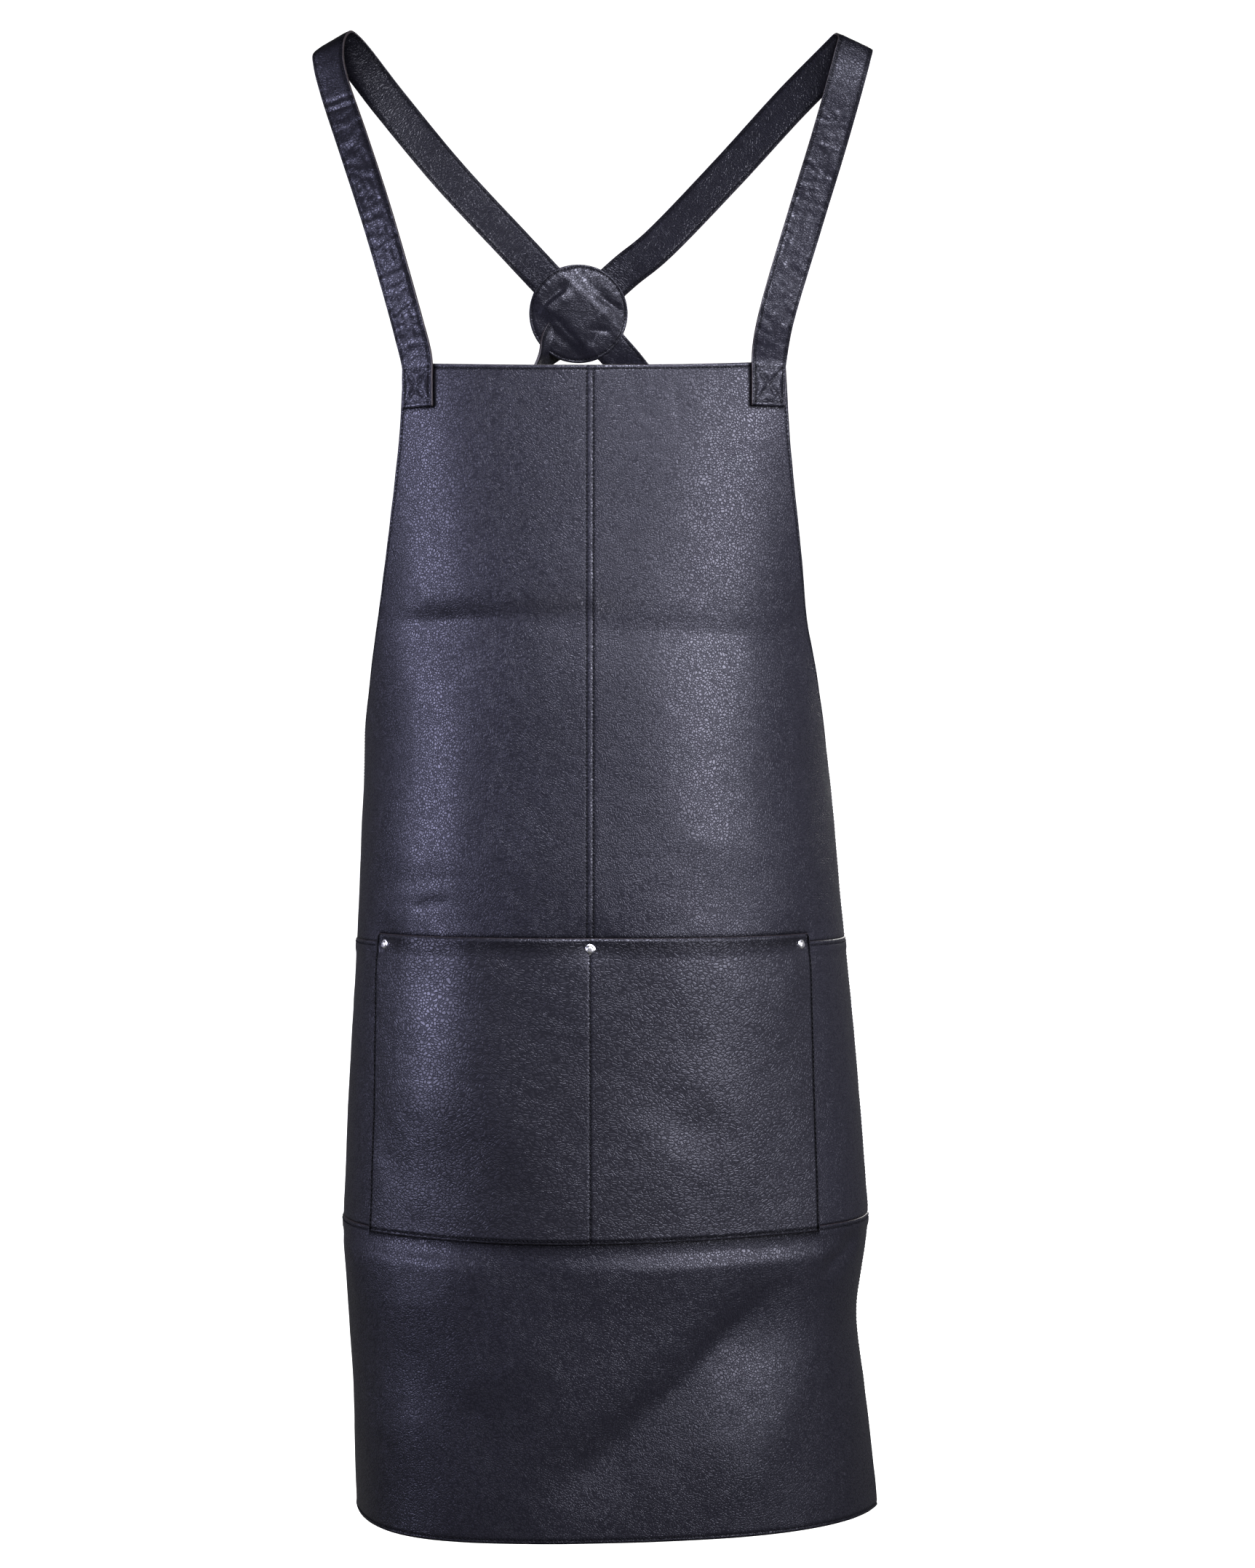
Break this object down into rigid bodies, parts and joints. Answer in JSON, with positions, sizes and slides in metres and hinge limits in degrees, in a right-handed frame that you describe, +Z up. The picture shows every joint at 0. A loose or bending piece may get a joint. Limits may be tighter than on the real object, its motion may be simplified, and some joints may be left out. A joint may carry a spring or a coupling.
{
  "type": "welding apron",
  "caption": "Leather cross-back work apron in worn shape, with sewn bib, hip and skirt panels, a riveted patch pocket and doubled straps crossing in a round back patch.",
  "frame": {"origin": "midway between the two shoulder folds of the straps, where the apron hangs from its wearer", "axes": "+Z up; the front of the bib faces -Y; +X is on the right of someone looking at the front"},
  "size_m": [0.4589, 0.2426, 1.1955],
  "materials": {
    "body_leather": "satin pebbled grain",
    "pocket_leather": "satin pebbled grain",
    "strap_leather": "satin pebbled grain",
    "patch_leather": "satin pebbled grain",
    "thread": "waxed twisted thread",
    "rivet_metal": "polished"
  },
  "bodies": {
    "harness": {"left_back_strap_face": "strap_leather", "left_back_strap_lining": "strap_leather", "left_front_strap_face": "strap_leather", "left_front_strap_lining": "strap_leather", "patch_back": "patch_leather", "patch_front": "patch_leather", "patch_thread": "thread", "right_back_strap_face": "strap_leather", "right_back_strap_lining": "strap_leather", "right_front_strap_face": "strap_leather", "right_front_strap_lining": "strap_leather"},
    "apron": {"bib_left_panel": "body_leather", "bib_right_panel": "body_leather", "bib_top_thread": "thread", "centre_seam_thread": "thread", "hip_panel": "body_leather", "left_box_stitch": "thread", "left_lower_strap_face": "strap_leather", "left_lower_strap_lining": "strap_leather", "left_sewn_end_face": "strap_leather", "left_sewn_end_lining": "strap_leather", "pocket_bottom_thread": "thread", "pocket_panel": "pocket_leather", "pocket_side_thread": "thread", "right_box_stitch": "thread", "right_lower_strap_face": "strap_leather", "right_lower_strap_lining": "strap_leather", "right_sewn_end_face": "strap_leather", "right_sewn_end_lining": "strap_leather", "rivet_backs": "rivet_metal", "rivet_caps": "rivet_metal", "rivet_posts": "rivet_metal"},
    "skirt": {"skirt_panel": "body_leather", "hem_thread": "thread"}
  },
  "joints": [
    {"name": "bib_swing", "type": "hinge", "parent": "harness", "child": "apron", "pos_m": [0, -0.078, -0.278], "axis": [-1, 0, 0], "range_deg": [0, 8]},
    {"name": "skirt_swing", "type": "hinge", "parent": "apron", "child": "skirt", "pos_m": [0, -0.1315, -0.958], "axis": [-1, 0, 0], "range_deg": [0, 20], "stiffness_Nm_per_rad": 1, "springref_deg": -11.46}
  ]
}
